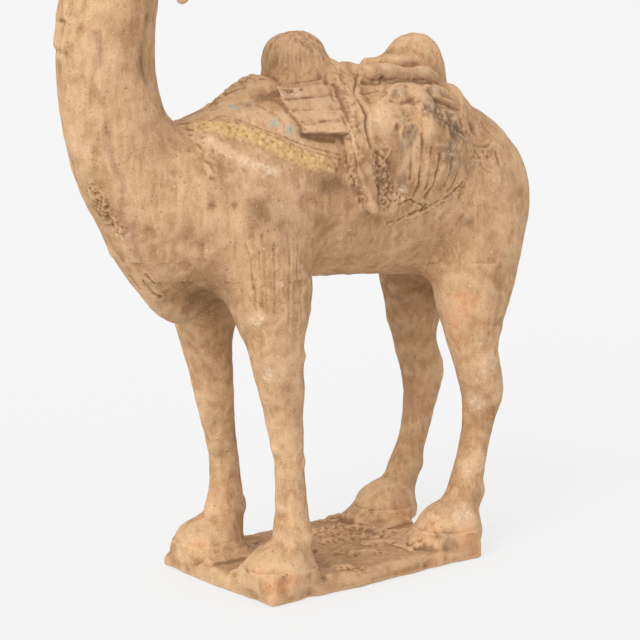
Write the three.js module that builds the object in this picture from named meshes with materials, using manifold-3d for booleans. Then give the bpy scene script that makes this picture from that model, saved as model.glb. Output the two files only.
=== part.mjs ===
// A painted pottery camel: a two-humped pack camel of buff earthenware, standing foursquare on a
// thin rectangular plinth, with its head turned to its own left. It is one piece of fired clay.
// The head above its chin and the far side are modelled plainly, in keeping with the rest.
//
// Millimetres, +Z up. The camel faces -X and its left side faces -Y. The origin is at the middle
// of the plinth's underside.
import * as THREE from 'three';
import Module from 'manifold-3d';
import { mergeVertices } from 'three/addons/utils/BufferGeometryUtils.js';

const wasm = await Module();
wasm.setup();

// Driving dimensions
const plinth = { length: 210, width: 142, thick: 13, bevel: 1.2 };
const back = 372; // heights above the floor
const belly = 227;
const skullMiddle = 471;
const trunkHalfWidth = 58;
const hump = { front: -26.5, rear: 92.5, top: 413.5, radius: 25.5 };
const headTurn = THREE.MathUtils.degToRad(98); // to the camel's own left

// The clay is skinned on a grid of this pitch, then thinned to this number of triangles.
const gridPitch = 3.3;
const clayTriangles = 8500;

// Shapes in clay: each is a function of a point that gives the distance to its skin, negative
// inside. Far from a shape, the distance to its box stands in for it.

const farOff = 36;
const clamp = (v, low, high) => Math.min(high, Math.max(low, v));
const mix = (a, b, t) => a + (b - a) * t;

// Two shapes run together, with a fillet of size k.
function blend(a, b, k) {
  const h = clamp(0.5 + (0.5 * (b - a)) / k, 0, 1);
  return mix(b, a, h) - k * h * (1 - h);
}

// One shape carved out of another, with the lip rounded by k.
const carve = (a, b, k) => -blend(-a, b, k);

function boxOf(points, margins) {
  const low = [Infinity, Infinity, Infinity];
  const high = [-Infinity, -Infinity, -Infinity];
  points.forEach((point, i) => {
    for (let n = 0; n < 3; n += 1) {
      low[n] = Math.min(low[n], point[n] - margins[i]);
      high[n] = Math.max(high[n], point[n] + margins[i]);
    }
  });
  return (x, y, z) => {
    const dx = Math.max(low[0] - x, x - high[0], 0);
    const dy = Math.max(low[1] - y, y - high[1], 0);
    const dz = Math.max(low[2] - z, z - high[2], 0);
    return Math.sqrt(dx * dx + dy * dy + dz * dz);
  };
}

// An egg with the half sizes [rx, ry, rz].
function egg([cx, cy, cz], [rx, ry, rz]) {
  return (x, y, z) => {
    const [u, v, w] = [(x - cx) / rx, (y - cy) / ry, (z - cz) / rz];
    const near = Math.sqrt(u * u + v * v + w * w) + 1e-9;
    const slope = Math.sqrt((u / rx) ** 2 + (v / ry) ** 2 + (w / rz) ** 2) + 1e-9;
    return (near * (near - 1)) / slope;
  };
}

// A rolled limb along a smooth curve. A station is [x, y, z, radius, wide], where wide is the
// limb's width along Y over its depth.
function limb(stations, steps = 44) {
  const axis = new THREE.CatmullRomCurve3(
    stations.map(([x, y, z]) => new THREE.Vector3(x, y, z)), false, 'centripetal');
  const sizes = new THREE.CatmullRomCurve3(
    stations.map(([, , , r, wide = 1]) => new THREE.Vector3(r, wide, 0)), false, 'centripetal');
  const bead = [];
  for (let i = 0; i <= steps; i += 1) {
    const at = axis.getPoint(i / steps);
    const size = sizes.getPoint(i / steps);
    bead.push([at.x, at.y, at.z, size.x, size.y]);
  }
  const box = boxOf(bead, bead.map(([, , , r, wide]) => r * Math.max(1, wide)));
  return (x, y, z) => {
    const away = box(x, y, z);
    if (away > farOff) return away;
    let nearest = 0;
    let least = Infinity;
    for (let i = 0; i <= steps; i += 1) {
      const b = bead[i];
      const dy = (y - b[1]) / b[4];
      const off = Math.sqrt((x - b[0]) ** 2 + dy * dy + (z - b[2]) ** 2) - b[3];
      if (off < least) {
        least = off;
        nearest = i;
      }
    }
    for (let i = Math.max(0, nearest - 1); i < Math.min(steps, nearest + 1); i += 1) {
      const [a, b] = [bead[i], bead[i + 1]];
      const [dx, dy, dz] = [b[0] - a[0], b[1] - a[1], b[2] - a[2]];
      const along = (x - a[0]) * dx + (y - a[1]) * dy + (z - a[2]) * dz;
      const t = clamp(along / (dx * dx + dy * dy + dz * dz), 0, 1);
      const across = (y - a[1] - dy * t) / mix(a[4], b[4], t);
      const off = Math.sqrt((x - a[0] - dx * t) ** 2 + across * across + (z - a[2] - dz * t) ** 2)
        - mix(a[3], b[3], t);
      if (off < least) least = off;
    }
    return least;
  };
}

// A shape turned about the vertical through a pivot, then nodded by tipping its front down.
function turned(shape, [px, py, pz], turn, nod) {
  const [ct, st] = [Math.cos(turn), Math.sin(turn)];
  const [cn, sn] = [Math.cos(nod), Math.sin(nod)];
  return (x, y, z) => {
    const [dx, dy, dz] = [x - px, y - py, z - pz];
    const u = dx * ct + dy * st;
    return shape(px + u * cn - dz * sn, py + dy * ct - dx * st, pz + dz * cn + u * sn);
  };
}

// Shapes run together one after the other, each with its own fillet.
function joined(parts) {
  return (x, y, z) => {
    let d = Infinity;
    for (const [shape, softness] of parts) {
      const next = shape(x, y, z);
      d = d === Infinity ? next : blend(d, next, softness);
    }
    return d;
  };
}

// Trunk, chest and neck

const trunkMiddle = (back + belly) / 2;
const trunkDepth = (back - belly) / 2;
const trunkWide = trunkHalfWidth / trunkDepth;
const trunk = limb([
  [-110, 0, trunkMiddle - 12, trunkDepth * 0.78, trunkWide * 1.02],
  [-72, 0, trunkMiddle - 4, trunkDepth * 0.92, trunkWide],
  [0, 0, trunkMiddle, trunkDepth, trunkWide],
  [75, 0, trunkMiddle - 2, trunkDepth * 1.01, trunkWide],
  [122, 0, trunkMiddle - 10, trunkDepth * 0.96, trunkWide * 0.98],
  [140, 0, trunkMiddle - 14, trunkDepth * 0.88, trunkWide * 0.95],
]);
const neck = limb([
  [-112, 0, 278, 56, 0.86],
  [-146, 0, 290, 49, 0.86],
  [-176, 0, 322, 40.5, 0.88],
  [-190, 0, 360, 35.5, 0.9],
  [-192, 0, 396, 34.5, 0.9],
  [-188, -1, 432, 33, 0.9],
  [-181, -6, skullMiddle - 8, 27, 0.92],
]);
const brisket = limb([
  [-152, 0, 262, 32, 0.8],
  [-147, 0, 232, 21, 0.75],
  [-136, 0, 214, 13, 0.7],
  [-114, 0, 220, 13, 0.7],
]);

// Legs and feet. A lean moves a front foot back, and a shift the whole of a hind leg.

function frontLeg(side, spread, lean) {
  const out = spread * side;
  return limb([
    [-84, out * 0.68, 272, 42, 0.72],
    [-82, out * 0.88, 225, 34, 0.78],
    [-81, out * 0.97, 190, 22, 0.92],
    [-77 + lean * 0.3, out, 158, 17.8, 0.96],
    [-73 + lean * 0.7, out, 124, 14.2, 1],
    [-69 + lean, out, 96, 11.8, 1],
    [-67 + lean, out, 72, 12.4, 1],
    [-67 + lean, out, 50, 14.2, 1],
    [-72 + lean, out, 34, 16, 1],
  ]);
}

function hindLeg(side, spread, shift) {
  const out = spread * side;
  return limb([
    [132 + shift * 0.3, out * 0.56, 284, 54, 0.7],
    [126 + shift * 0.6, out * 0.82, 238, 42, 0.76],
    [117 + shift, out * 0.96, 198, 29, 0.86],
    [119 + shift, out, 163, 19.6, 0.95],
    [128 + shift, out, 131, 18.4, 0.92],
    [124 + shift, out, 101, 13.6, 1],
    [117 + shift, out, 74, 12.6, 1],
    [110 + shift * 0.8, out, 50, 14.4, 1],
    [103 + shift * 0.7, out, 34, 16, 1],
  ]);
}

// A foot is a soft round pad, a little longer than wide, centred just above the plinth.
const footHalf = { long: 29, wide: 26.5, high: 31, lift: 3 };
const foot = ([x, y]) => egg(
  [x, y, plinth.thick + footHalf.lift], [footHalf.long, footHalf.wide, footHalf.high]);

const stance = [
  { leg: frontLeg(-1, 45, 0), sole: foot([-80.5, -47]) },
  { leg: frontLeg(1, 44, 3.5), sole: foot([-79, 45]) },
  { leg: hindLeg(-1, 44, 0), sole: foot([92, -44]) },
  { leg: hindLeg(1, 43, 15), sole: foot([101, 41]) },
];

// Tail, pressed against the rump and down between the thighs
const tail = limb([
  [176, 0, 336, 8, 1],
  [196, 0, 312, 8.5, 1],
  [203, 0, 282, 8, 1.1],
  [199, 0, 254, 8.5, 1.2],
  [191, 0, 234, 6, 1.2],
]);

// Head, drawn facing -X about the middle of the skull, then turned and nodded

const skull = { x: -182, y: -5, z: skullMiddle };
const inHead = (stations) => stations.map(
  ([x, y, z, ...rest]) => [skull.x + x, skull.y + y, skull.z + z, ...rest]);
const bothSides = (make, softness = 3) => [-1, 1].map((side) => [make(side), softness]);
const cranium = limb(inHead([[15, 0, -1, 23.5, 0.9], [-8, 0, 2, 24.5, 0.86], [-30, 0, 0, 19, 0.84]]));
const muzzle = limb(inHead([
  [-28, 0, 2, 16, 0.84], [-50, 0, 0, 13.5, 0.9], [-66, 0, -4, 13.5, 1], [-77, 0, -9, 12, 1.05],
  [-83, 0, -16, 7.5, 1.1]]));
const jaw = limb(inHead([
  [-4, 0, -15, 15, 0.8], [-32, 0, -22, 10.5, 0.9], [-58, 0, -26, 8.5, 1.05], [-71, 0, -26, 7, 1.2]]));
const beard = limb(inHead([[-57, 0, -33, 8, 1], [-61.5, 0, -44.5, 4.8, 0.9]]));
const topknot = limb(inHead([[-12, 0, 21, 10, 1.3], [4, 0, 29, 12, 1.15], [18, 0, 26, 11, 1]]));
const brow = (side) => limb(inHead([[-18, 13 * side, 12, 8.5, 0.7], [-34, 12 * side, 9, 5.5, 0.7]]));
const ear = (side) => limb(inHead([
  [11, 17 * side, 17, 6, 0.8], [18, 24 * side, 27, 5, 0.6], [21, 27 * side, 34, 2.6, 0.6]]));
const bones = joined([
  [cranium, 0], [muzzle, 9], [jaw, 5], [beard, 5], [topknot, 8],
  ...bothSides(brow), ...bothSides(ear),
]);
const eyes = joined(bothSides((side) => egg(
  [skull.x - 26, skull.y + 16 * side, skull.z + 4], [5.2, 4.4, 4])));
const nostril = (side) => limb(inHead([[-86, 6 * side, -7, 1.8, 1], [-77, 12 * side, -4, 2, 1]]));
const mouth = limb(inHead([[-92, 0, -22, 1.4, 14], [-62, 0, -17, 1.4, 12], [-46, 0, -12, 1.2, 14]]));
const hollows = joined([...bothSides(nostril), [mouth, 1]]);
// What fills the mouth behind the lips, so that the slit is only a groove
const tongue = limb(inHead([[-46, 0, -13, 9, 1], [-74, 0, -18, 7.5, 1.1]]));
function headShape(x, y, z) {
  let d = carve(bones(x, y, z), hollows(x, y, z), 2);
  d = blend(d, tongue(x, y, z), 1.5);
  return blend(d, eyes(x, y, z), 1.5);
}
const head = turned(headShape, [skull.x, skull.y, skull.z], headTurn, 0.02);

const fillet = {
  neck: 26, brisket: 14, leg: 15, sole: 7, tail: 5, head: 12, packPad: 6, hump: 9, load: 4,
};
const creature = joined([
  [trunk, 0],
  [neck, fillet.neck],
  [brisket, fillet.brisket],
  ...stance.map(({ leg }) => [leg, fillet.leg]),
  ...stance.map(({ sole }) => [sole, fillet.sole]),
  [tail, fillet.tail],
  [head, fillet.head],
]);

// Blanket: a thin sheet over the back, from the withers to the rump

const blanket = { thick: 2.2, front: -131, rear: 161, hem: 307, rise: 24, middle: 10, edge: 2 };
function blanketShape(d, x, z) {
  const away = (x - blanket.middle) / (blanket.rear - blanket.middle);
  const hem = blanket.hem + blanket.rise * away ** 2;
  const outside = Math.max(blanket.front - x, x - blanket.rear, hem - z);
  return -blend(blanket.thick - d, -outside, blanket.edge);
}

// Pack: a pad on each side of the humps, boards along it, bags over the boards, and a rolled
// bundle and lashings that tie them down

const packPad = limb([
  [-62, 0, 344, 25, 1.95], [-20, 0, 347, 29.5, 1.8], [40, 0, 347, 30, 1.8],
  [90, 0, 346, 28, 1.8], [122, 0, 342, 22, 1.8]]);
const topLoad = joined([
  [limb([[2, 0, 371, 13, 2], [34, 0, 371, 13, 2.5], [66, 0, 373, 13, 2.3]]), 0],
  [limb([[58, -14, 390, 7, 1.6], [74, -12, 390, 7, 1.6]]), 5],
  [limb([[58, 14, 388, 7, 1.6], [74, 12, 388, 7, 1.6]]), 5],
  [limb([[-98, 0, 356, 6, 1.6], [-84, 0, 363, 7, 2.2], [-62, 0, 371, 8.5, 2.4]]), 5],
  [limb([[-10, -17, 385, 5, 2], [8, -17, 386, 5, 2]]), 4],
  [limb([[-10, 17, 385, 5, 2], [8, 17, 386, 5, 2]]), 4],
]);

// The bag hangs over the boards: full below, with the worn mask that such bags carry, two
// bosses for its eyes over a broad snout, and a pleated hem.
const [maskFillet, cordFillet] = [7, 3];
function sideLoad(side) {
  const bag = joined([
    [limb([[4, 46 * side, 322, 24, 0.75], [50, 44 * side, 324, 41, 0.62],
      [84, 43 * side, 326, 26, 0.8]]), 0],
    [egg([50, 26 * side, 356], [54, 29, 22]), 12],
    [egg([14, 56 * side, 342], [19, 13, 22]), 8],
  ]);
  const mask = joined([
    ...bothSides((lr) => egg([51 + 20 * lr, 50 * side, 367], [6.5, 5, 5])),
    [limb([[51, 50 * side, 366, 4.5, 1], [49, 60 * side, 350, 5, 1], [47, 65 * side, 340, 6, 1]]), 7],
    [limb([[22, 63 * side, 333, 5, 1], [46, 66 * side, 336, 6, 1], [76, 61 * side, 332, 5, 1]]), 7],
  ]);
  // The pleats fan out from a point above the mask, and deepen from 330 mm up to the hem.
  const pleats = { x: 50, z: 390, start: 330, fade: 30, count: 22, deep: 0.9 };
  const roll = joined([
    [limb([[8, 27 * side, 382, 6, 1], [32, 33 * side, 383, 6.5, 1], [56, 34 * side, 380, 6.5, 1],
      [84, 30 * side, 378, 6, 1]]), 0],
    [egg([68, 38 * side, 382], [7, 6, 5.5]), 3],
  ]);
  const strap = joined([-6.5, 0, 6.5].map((off) => [limb([
    [-12 + off, 25 * side, 380.5, 5.5, 1], [-13 + off, 42 * side, 369, 5.5, 1],
    [-15 + off, 56 * side, 346, 5, 1], [-15 + off, 61 * side, 328, 5, 1],
    [-13 + off * 0.6, 63 * side, 310, 4.4, 1], [-7 + off * 0.4, 63 * side, 295, 3.6, 1],
    [-3 + off * 0.2, 62 * side, 282, 3, 1],
  ]), 5]));
  return (x, y, z) => {
    const low = clamp((pleats.start - z) / pleats.fade, 0, 1);
    const fan = Math.atan2(x - pleats.x, pleats.z - z);
    let d = bag(x, y, z) - pleats.deep * low * Math.cos(fan * pleats.count);
    d = blend(d, mask(x, y, z), maskFillet);
    d = blend(d, roll(x, y, z), cordFillet);
    return blend(d, strap(x, y, z), cordFillet);
  };
}
const loads = [sideLoad(-1), sideLoad(1)];

const humps = [hump.front, hump.rear].map((x) => limb([
  [x, 0, back - hump.radius / 2, hump.radius, 1],
  [x, 0, hump.top - hump.radius, hump.radius, 1],
], 4));

// The figure without its plinth and boards, cut off a little below the plinth's top
const sunk = 2;
function clay(x, y, z) {
  let d = creature(x, y, z);
  d = Math.min(d, blanketShape(d, x, z));
  d = blend(d, packPad(x, y, z), fillet.packPad);
  for (const dome of humps) d = blend(d, dome(x, y, z), fillet.hump);
  for (const load of [topLoad, ...loads]) d = blend(d, load(x, y, z), fillet.load);
  return Math.max(d, plinth.thick - sunk - z);
}

// Turns the weakest grid point over wherever the skin would touch itself: at a grid square, or a
// grid cell, where only opposite corners lie inside.
function unpinch(value, [nx, ny, nz], strides) {
  const slight = 0.01;
  const sets = [];
  for (const [s, t] of [[0, 1], [1, 2], [0, 2]]) {
    sets.push([0, strides[s], strides[s] + strides[t], strides[t]]);
  }
  const cube = [];
  for (let c = 0; c < 8; c += 1) {
    cube.push((c & 1) * strides[0] + ((c >> 1) & 1) * strides[1] + ((c >> 2) & 1) * strides[2]);
  }
  const turnWeakest = (here, set) => {
    let weakest = here + set[0];
    for (const step of set) {
      if (Math.abs(value[here + step]) < Math.abs(value[weakest])) weakest = here + step;
    }
    value[weakest] = value[weakest] < 0 ? slight : -slight;
  };
  let found = 1;
  while (found > 0) {
    found = 0;
    for (let k = 0; k < nz - 1; k += 1) {
      for (let j = 0; j < ny - 1; j += 1) {
        for (let i = 0; i < nx - 1; i += 1) {
          const here = i + nx * (j + ny * k);
          for (const set of sets) {
            const [a, b, c, d] = set.map((step) => value[here + step] < 0);
            if (a === c && b === d && a !== b) {
              turnWeakest(here, set);
              found += 1;
            }
          }
          const inside = cube.map((step) => value[here + step] < 0);
          const total = inside.filter(Boolean).length;
          if (total !== 2 && total !== 6) continue;
          const odd = inside.indexOf(total === 2);
          if (inside[7 - odd] === (total === 2)) {
            turnWeakest(here, [cube[odd], cube[7 - odd]]);
            found += 1;
          }
        }
      }
    }
  }
}

// Skins the clay: one vertex in each grid cell that the skin passes through, at the mean of its
// crossings, and one square for each grid edge that crosses it.
function skin(shape, low, high, pitch) {
  const [nx, ny, nz] = low.map((v, i) => Math.ceil((high[i] - v) / pitch) + 1);
  const at = (i, j, k) => i + nx * (j + ny * k);
  const value = new Float64Array(nx * ny * nz);
  const measure = (i, j, k) => shape(low[0] + i * pitch, low[1] + j * pitch, low[2] + k * pitch);
  // A block of grid points whose middle lies far from the skin takes one value: the reach is well
  // over the way from a block's middle to its corner.
  const block = 5;
  const reach = 1.5 * block * pitch;
  for (let k0 = 0; k0 < nz; k0 += block) {
    for (let j0 = 0; j0 < ny; j0 += block) {
      for (let i0 = 0; i0 < nx; i0 += block) {
        const half = (block - 1) / 2;
        const middle = measure(i0 + half, j0 + half, k0 + half);
        for (let k = k0; k < Math.min(nz, k0 + block); k += 1) {
          for (let j = j0; j < Math.min(ny, j0 + block); j += 1) {
            for (let i = i0; i < Math.min(nx, i0 + block); i += 1) {
              value[at(i, j, k)] = Math.abs(middle) > reach ? middle : measure(i, j, k);
            }
          }
        }
      }
    }
  }
  const strides = [1, nx, nx * ny];
  unpinch(value, [nx, ny, nz], strides);
  const corners = [];
  for (let c = 0; c < 8; c += 1) corners.push([c & 1, (c >> 1) & 1, (c >> 2) & 1]);
  const edges = [];
  for (let a = 0; a < 8; a += 1) {
    for (const bit of [1, 2, 4]) {
      if (!(a & bit)) edges.push([a, a | bit]);
    }
  }
  const cell = new Int32Array(nx * ny * nz).fill(-1);
  const points = [];
  for (let k = 0; k < nz - 1; k += 1) {
    for (let j = 0; j < ny - 1; j += 1) {
      for (let i = 0; i < nx - 1; i += 1) {
        const v = corners.map(([a, b, c]) => value[at(i + a, j + b, k + c)]);
        const sum = [0, 0, 0];
        let hits = 0;
        for (const [a, b] of edges) {
          if (v[a] < 0 !== v[b] < 0) {
            const t = v[a] / (v[a] - v[b]);
            for (let n = 0; n < 3; n += 1) sum[n] += mix(corners[a][n], corners[b][n], t);
            hits += 1;
          }
        }
        if (hits) {
          cell[at(i, j, k)] = points.length / 3;
          points.push(
            low[0] + (i + sum[0] / hits) * pitch,
            low[1] + (j + sum[1] / hits) * pitch,
            low[2] + (k + sum[2] / hits) * pitch);
        }
      }
    }
  }
  const faces = [];
  for (let k = 1; k < nz - 1; k += 1) {
    for (let j = 1; j < ny - 1; j += 1) {
      for (let i = 1; i < nx - 1; i += 1) {
        const here = at(i, j, k);
        for (let axis = 0; axis < 3; axis += 1) {
          const inside = value[here] < 0;
          if (inside === value[here + strides[axis]] < 0) continue;
          const [s, t] = [strides[(axis + 1) % 3], strides[(axis + 2) % 3]];
          const ring = [cell[here], cell[here - s], cell[here - s - t], cell[here - t]];
          if (!inside) ring.reverse();
          faces.push(ring[0], ring[1], ring[2], ring[0], ring[2], ring[3]);
        }
      }
    }
  }
  return { points, faces };
}

// Pulls each point onto the skin, along the slope of the distance.
function settle(points, shape) {
  const h = 0.5;
  const leastSteep = 0.25;
  for (let round = 0; round < 2; round += 1) {
    for (let i = 0; i < points.length; i += 3) {
      const [x, y, z] = points.slice(i, i + 3);
      const d = shape(x, y, z);
      const slope = [
        (shape(x + h, y, z) - shape(x - h, y, z)) / (2 * h),
        (shape(x, y + h, z) - shape(x, y - h, z)) / (2 * h),
        (shape(x, y, z + h) - shape(x, y, z - h)) / (2 * h),
      ];
      const steep = Math.max(leastSteep, slope[0] ** 2 + slope[1] ** 2 + slope[2] ** 2);
      const pull = clamp(d / steep, -gridPitch / 2, gridPitch / 2);
      for (let n = 0; n < 3; n += 1) points[i + n] -= slope[n] * pull;
    }
  }
}

// Thins a closed mesh: the edge whose loss moves the surface least is drawn together first.
// hold keeps the new point near its edge, shortFirst favours short edges, and an edge stays where
// its loss would turn a face too far or leave a sliver.
function thin({ points, faces }, target) {
  const hold = 1e-3;
  const shortFirst = 1e-4;
  const leastCosine = 0.4;
  const sliver = 0.12;
  const count = points.length / 3;
  const at = [];
  for (let i = 0; i < count; i += 1) at.push(new THREE.Vector3(...points.slice(3 * i, 3 * i + 3)));
  const tris = [];
  const around = at.map(() => new Set());
  for (let f = 0; f < faces.length; f += 3) {
    const tri = [faces[f], faces[f + 1], faces[f + 2]];
    for (const v of tri) around[v].add(tris.length);
    tris.push(tri);
  }
  const quadric = at.map(() => new Float64Array(10));
  const [p, q, n] = [new THREE.Vector3(), new THREE.Vector3(), new THREE.Vector3()];
  const normal = (a, b, c) => n.crossVectors(p.subVectors(b, a), q.subVectors(c, a));
  for (const [a, b, c] of tris) {
    normal(at[a], at[b], at[c]);
    const area = n.length() / 2;
    n.normalize();
    const d = -n.dot(at[a]);
    const plane = [n.x, n.y, n.z, d];
    for (const v of [a, b, c]) {
      let m = 0;
      for (let r = 0; r < 4; r += 1) {
        for (let s = r; s < 4; s += 1) {
          quadric[v][m] += plane[r] * plane[s] * area;
          m += 1;
        }
      }
    }
  }
  const error = (m, v) => {
    const { x, y, z } = v;
    return m[0] * x * x + 2 * m[1] * x * y + 2 * m[2] * x * z + 2 * m[3] * x + m[4] * y * y
      + 2 * m[5] * y * z + 2 * m[6] * y + m[7] * z * z + 2 * m[8] * z + m[9];
  };
  // The point that fits both ends' planes best, held near the edge.
  const place = (m, a, b) => {
    const middle = new THREE.Vector3().addVectors(a, b).multiplyScalar(0.5);
    const w = hold * (m[0] + m[4] + m[7]);
    const solve = new THREE.Matrix3().set(
      m[0] + w, m[1], m[2], m[1], m[4] + w, m[5], m[2], m[5], m[7] + w);
    const right = new THREE.Vector3(
      w * middle.x - m[3], w * middle.y - m[6], w * middle.z - m[8]);
    const best = right.applyMatrix3(solve.invert());
    const reach = a.distanceTo(b);
    return best.distanceTo(middle) < reach ? best : middle;
  };
  const stamp = new Int32Array(count);
  const heap = [];
  const less = (a, b) => a.cost < b.cost;
  const push = (item) => {
    heap.push(item);
    let i = heap.length - 1;
    while (i > 0) {
      const up = (i - 1) >> 1;
      if (!less(heap[i], heap[up])) break;
      [heap[i], heap[up]] = [heap[up], heap[i]];
      i = up;
    }
  };
  const pop = () => {
    const top = heap[0];
    const last = heap.pop();
    if (heap.length) {
      heap[0] = last;
      let i = 0;
      for (;;) {
        let least = i;
        for (const down of [2 * i + 1, 2 * i + 2]) {
          if (down < heap.length && less(heap[down], heap[least])) least = down;
        }
        if (least === i) break;
        [heap[i], heap[least]] = [heap[least], heap[i]];
        i = least;
      }
    }
    return top;
  };
  const offer = (a, b) => {
    const m = quadric[a].map((v, i) => v + quadric[b][i]);
    const to = place(m, at[a], at[b]);
    const cost = error(m, to) + shortFirst * at[a].distanceToSquared(at[b]);
    push({ cost, a, b, to, marks: stamp[a] + stamp[b] });
  };
  const ring = (v) => {
    const out = new Set();
    for (const f of around[v]) for (const w of tris[f]) if (w !== v) out.add(w);
    return out;
  };
  for (let v = 0; v < count; v += 1) for (const w of ring(v)) if (v < w) offer(v, w);
  const flips = (v, gone, to) => {
    for (const f of around[v]) {
      const tri = tris[f];
      if (tri.includes(gone)) continue;
      const before = normal(at[tri[0]], at[tri[1]], at[tri[2]]).clone();
      const moved = tri.map((w) => (w === v ? to : at[w]));
      const after = normal(...moved);
      const longest = Math.max(
        moved[0].distanceTo(moved[1]), moved[1].distanceTo(moved[2]), moved[2].distanceTo(moved[0]));
      if (after.dot(before) < leastCosine * after.length() * before.length()) return true;
      if (after.length() < sliver * longest * longest) return true;
    }
    return false;
  };
  let left = tris.length;
  while (left > target && heap.length) {
    const { a, b, to, marks } = pop();
    if (!around[a].size || !around[b].size || marks !== stamp[a] + stamp[b]) continue;
    const shared = [...ring(a)].filter((v) => ring(b).has(v));
    if (shared.length !== 2 || flips(a, b, to) || flips(b, a, to)) continue;
    for (const f of [...around[b]]) {
      const tri = tris[f];
      if (tri.includes(a)) {
        for (const v of tri) around[v].delete(f);
        tris[f] = null;
        left -= 1;
      } else {
        tri[tri.indexOf(b)] = a;
        around[a].add(f);
      }
    }
    around[b].clear();
    at[a].copy(to);
    for (let i = 0; i < 10; i += 1) quadric[a][i] += quadric[b][i];
    stamp[a] += 1;
    stamp[b] += 1;
    for (const v of ring(a)) offer(a, v);
  }
  const kept = new Map();
  const geometry = new THREE.BufferGeometry();
  const index = [];
  const positions = [];
  for (const tri of tris) {
    if (!tri) continue;
    for (const v of tri) {
      if (!kept.has(v)) {
        kept.set(v, kept.size);
        positions.push(at[v].x, at[v].y, at[v].z);
      }
      index.push(kept.get(v));
    }
  }
  geometry.setAttribute('position', new THREE.Float32BufferAttribute(positions, 3));
  geometry.setIndex(index);
  return geometry;
}

// A closed three.js shape as a solid that can be joined, and back again.
const weld = 1e-4;
function solid(geometry) {
  const plain = geometry.clone();
  for (const name of Object.keys(plain.attributes)) {
    if (name !== 'position') plain.deleteAttribute(name);
  }
  const merged = mergeVertices(plain, weld);
  return new wasm.Manifold(new wasm.Mesh({
    numProp: 3,
    vertProperties: new Float32Array(merged.attributes.position.array),
    triVerts: new Uint32Array(merged.index.array),
  }));
}

function shell(made) {
  const { vertProperties, triVerts } = made.getMesh();
  const geometry = new THREE.BufferGeometry();
  geometry.setAttribute('position', new THREE.Float32BufferAttribute(vertProperties, 3));
  geometry.setIndex([...triVerts]);
  geometry.computeVertexNormals();
  return geometry;
}

// Plinth: a slab with softened edges
function slab({ length, width, thick, bevel }) {
  const [hx, hy] = [length / 2 - bevel, width / 2 - bevel];
  const outline = new THREE.Shape([[-hx, -hy], [hx, -hy], [hx, hy], [-hx, hy]].map(
    ([x, y]) => new THREE.Vector2(x, y)));
  const shape = new THREE.ExtrudeGeometry(outline, {
    depth: thick - 2 * bevel, bevelThickness: bevel, bevelSize: bevel, bevelSegments: 1 });
  return shape.translate(0, 0, bevel);
}

// Pack boards: four planks on each side, bowed along the back, their ends cut on the slant. They
// start further back on the far side.
const boards = { rows: 4, wide: 9.4, groove: 1.1, proud: 3.4, sunk: 9, rear: 104, slant: 3 };
const boardFront = { near: -74, far: -50 };
const bow = { middle: 22, reach: 82, drop: 6 };
function planks(side, front) {
  const { rows, wide, groove, proud, rear, slant } = boards;
  const top = new THREE.Vector3(0, 28 * side, 376.5);
  const down = new THREE.Vector3(0, 27 * side, -31).normalize();
  const out = new THREE.Vector3(0, -down.z * side, down.y * side);
  const across = new THREE.Vector3(side, 0, 0);
  const made = [];
  for (let i = 0; i < rows; i += 1) {
    const edge = (x, s) => new THREE.Vector2(
      x * side, s + bow.drop * ((x - bow.middle) / bow.reach) ** 2);
    const [from, to] = [front + slant * i, rear - slant * i];
    const [high, low] = [wide * i, wide * (i + 1) - groove];
    const outline = [];
    const steps = 6;
    for (let n = 0; n <= steps; n += 1) outline.push(edge(mix(from, to, n / steps), high));
    for (let n = 0; n <= steps; n += 1) outline.push(edge(mix(to - slant, from + slant, n / steps), low));
    const board = new THREE.ExtrudeGeometry(new THREE.Shape(outline), {
      depth: proud + boards.sunk, bevelEnabled: false });
    board.translate(0, 0, -boards.sunk);
    board.applyMatrix4(new THREE.Matrix4().makeBasis(across, down, out).setPosition(top));
    made.push(board);
  }
  return made;
}

const [clayLow, clayHigh] = [[-240, -110, 0], [226, 86, 530]];
const raw = skin(clay, clayLow, clayHigh, gridPitch);
settle(raw.points, clay);
const clayBody = thin(raw, clayTriangles);

let figure = solid(clayBody).add(solid(slab(plinth)));
for (const board of [...planks(-1, boardFront.near), ...planks(1, boardFront.far)]) {
  figure = figure.add(solid(board));
}

const earthenware = new THREE.MeshStandardMaterial({ color: 0xc7a27c, roughness: 0.92, metalness: 0 });
const camel = new THREE.Mesh(shell(figure), earthenware);
camel.name = 'pottery_camel';

const model = new THREE.Group();
model.add(camel);
export default model;
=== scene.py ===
# Pottery camel figure: the detailed clay surface, its worn paint and soil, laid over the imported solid.
import math

import bmesh
import bpy
import numpy as np
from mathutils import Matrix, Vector
from mathutils.bvhtree import BVHTree


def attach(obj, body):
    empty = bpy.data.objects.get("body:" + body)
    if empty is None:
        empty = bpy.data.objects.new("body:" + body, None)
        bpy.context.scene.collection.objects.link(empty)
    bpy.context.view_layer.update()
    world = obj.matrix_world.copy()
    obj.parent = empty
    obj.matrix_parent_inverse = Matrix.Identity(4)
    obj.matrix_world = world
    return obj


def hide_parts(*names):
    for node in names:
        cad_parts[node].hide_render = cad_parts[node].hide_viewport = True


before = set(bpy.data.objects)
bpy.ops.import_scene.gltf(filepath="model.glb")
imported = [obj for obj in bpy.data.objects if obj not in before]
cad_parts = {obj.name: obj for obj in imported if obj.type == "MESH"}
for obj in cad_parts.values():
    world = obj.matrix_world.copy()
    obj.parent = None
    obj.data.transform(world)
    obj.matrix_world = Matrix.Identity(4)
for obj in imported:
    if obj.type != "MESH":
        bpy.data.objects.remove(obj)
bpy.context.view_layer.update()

MM = 0.001               # every size below is in millimetres

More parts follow.
